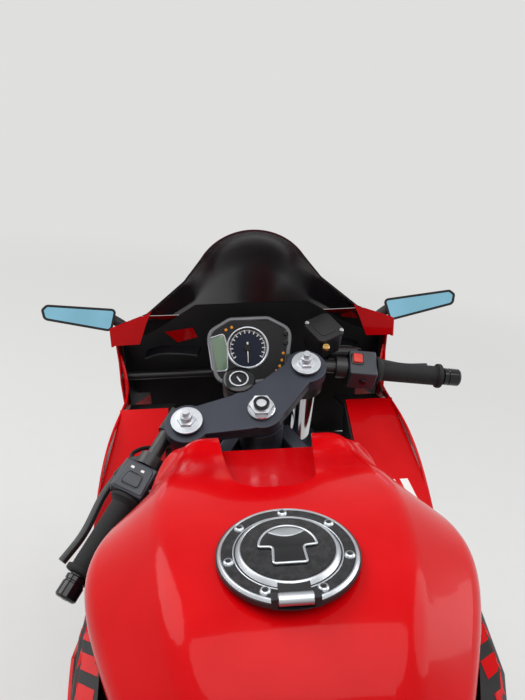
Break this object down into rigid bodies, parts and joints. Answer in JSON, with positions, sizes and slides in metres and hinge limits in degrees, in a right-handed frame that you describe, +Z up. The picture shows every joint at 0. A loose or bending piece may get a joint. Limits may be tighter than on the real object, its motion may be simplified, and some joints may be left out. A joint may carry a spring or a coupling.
{
  "type": "sport motorcycle",
  "caption": "Sport motorcycle with a full fairing, clip-on bars, fuel tank and seats, leaning on its side stand; it steers, rolls and its stand and fuel lid move.",
  "frame": {"origin": "centre of the bounding box on the ground", "axes": "+X forward, +Y left, +Z up; the bike leans left on its side stand"},
  "size_m": [2.0193, 0.7411, 1.1274],
  "materials": {
    "amber_lens": "amber lens",
    "black_metal": "black painted steel",
    "black_plastic": "black moulded plastic",
    "bright_metal": "satin silver aluminium",
    "chrome": "polished",
    "clear_lens": "clear lens",
    "dark_metal": "dark satin cast aluminium",
    "dial": "blue-black dial",
    "mirror": "blue tinted mirror glass",
    "red_lens": "red lens",
    "red_paint": "gloss red body paint",
    "rubber": "black rubber",
    "seat_cover": "black seat cover",
    "smoked_screen": "nearly opaque smoked plastic",
    "steel": "bare steel",
    "tyre": "black tyre rubber"
  },
  "bodies": {
    "frame": {"belly_pan": "red_paint", "dial_face": "dial", "drive_chain": "steel", "engine": "dark_metal", "exhaust_pipes": "steel", "fairing_stay": "black_metal", "filler_neck": "black_metal", "front_sprocket": "steel", "fuel_tank": "red_paint", "headlight_bowls": "black_plastic", "headlights": "clear_lens", "indicators": "amber_lens", "inner_panels": "black_plastic", "instrument_case": "black_plastic", "knee_panels": "black_plastic", "main_frame": "dark_metal", "mirror_glass": "mirror", "mirrors": "black_plastic", "passenger_pegs": "dark_metal", "pillion_seat": "seat_cover", "pivot_bolt": "steel", "plate_hanger": "black_plastic", "radiator": "dark_metal", "rear_axle": "steel", "rear_brake": "dark_metal", "rear_shock": "black_metal", "rider_pegs": "dark_metal", "rider_seat": "seat_cover", "side_fairing_left": "red_paint", "side_fairing_right": "red_paint", "silencer": "bright_metal", "stand_bobbins": "dark_metal", "subframe": "black_metal", "swingarm": "dark_metal", "tail_fairing": "red_paint", "tail_light": "red_lens", "upper_fairing": "red_paint", "windscreen": "smoked_screen"},
    "steering": {"top_yoke": "dark_metal", "lower_yoke": "dark_metal", "fork_stanchions": "chrome", "fork_sliders": "black_metal", "yoke_caps": "bright_metal", "ignition_switch": "black_metal", "clip_ons": "black_metal", "grips": "rubber", "switchgear": "black_plastic", "hand_levers": "black_metal", "front_calipers": "dark_metal", "front_mudguard": "red_paint", "front_axle": "steel"},
    "front_wheel": {"front_tyre": "tyre", "front_rim": "dark_metal", "front_discs": "steel"},
    "rear_wheel": {"rear_tyre": "tyre", "rear_rim": "dark_metal", "rear_disc": "steel", "rear_sprocket": "steel"},
    "side_stand": {"side_stand": "black_metal"},
    "fuel_lid": {"fuel_lid": "black_metal"}
  },
  "joints": [
    {"name": "steering", "type": "hinge", "parent": "frame", "child": "steering", "pos_m": [0.42734, -0.0141, 0.89753], "axis": [-0.4024, 0.159, 0.9016], "range_deg": [-56, 0]},
    {"name": "front_wheel_spin", "type": "hinge", "parent": "steering", "child": "front_wheel", "pos_m": [0.73301, -0.10515, 0.2859], "axis": [-0.4298, 0.8367, -0.3394], "continuous": true},
    {"name": "rear_wheel_spin", "type": "hinge", "parent": "frame", "child": "rear_wheel", "pos_m": [-0.65313, -0.1174, 0.31172], "axis": [0, 0.9848, -0.1736], "continuous": true},
    {"name": "side_stand_fold", "type": "hinge", "parent": "frame", "child": "side_stand", "pos_m": [-0.06839, -0.01088, 0.23628], "axis": [0.1246, 0.9193, 0.3734], "range_deg": [0, 87]},
    {"name": "fuel_lid_hinge", "type": "hinge", "parent": "frame", "child": "fuel_lid", "pos_m": [0.01018, 0.00106, 0.98351], "axis": [0, -0.9848, 0.1736], "range_deg": [0, 95]}
  ]
}
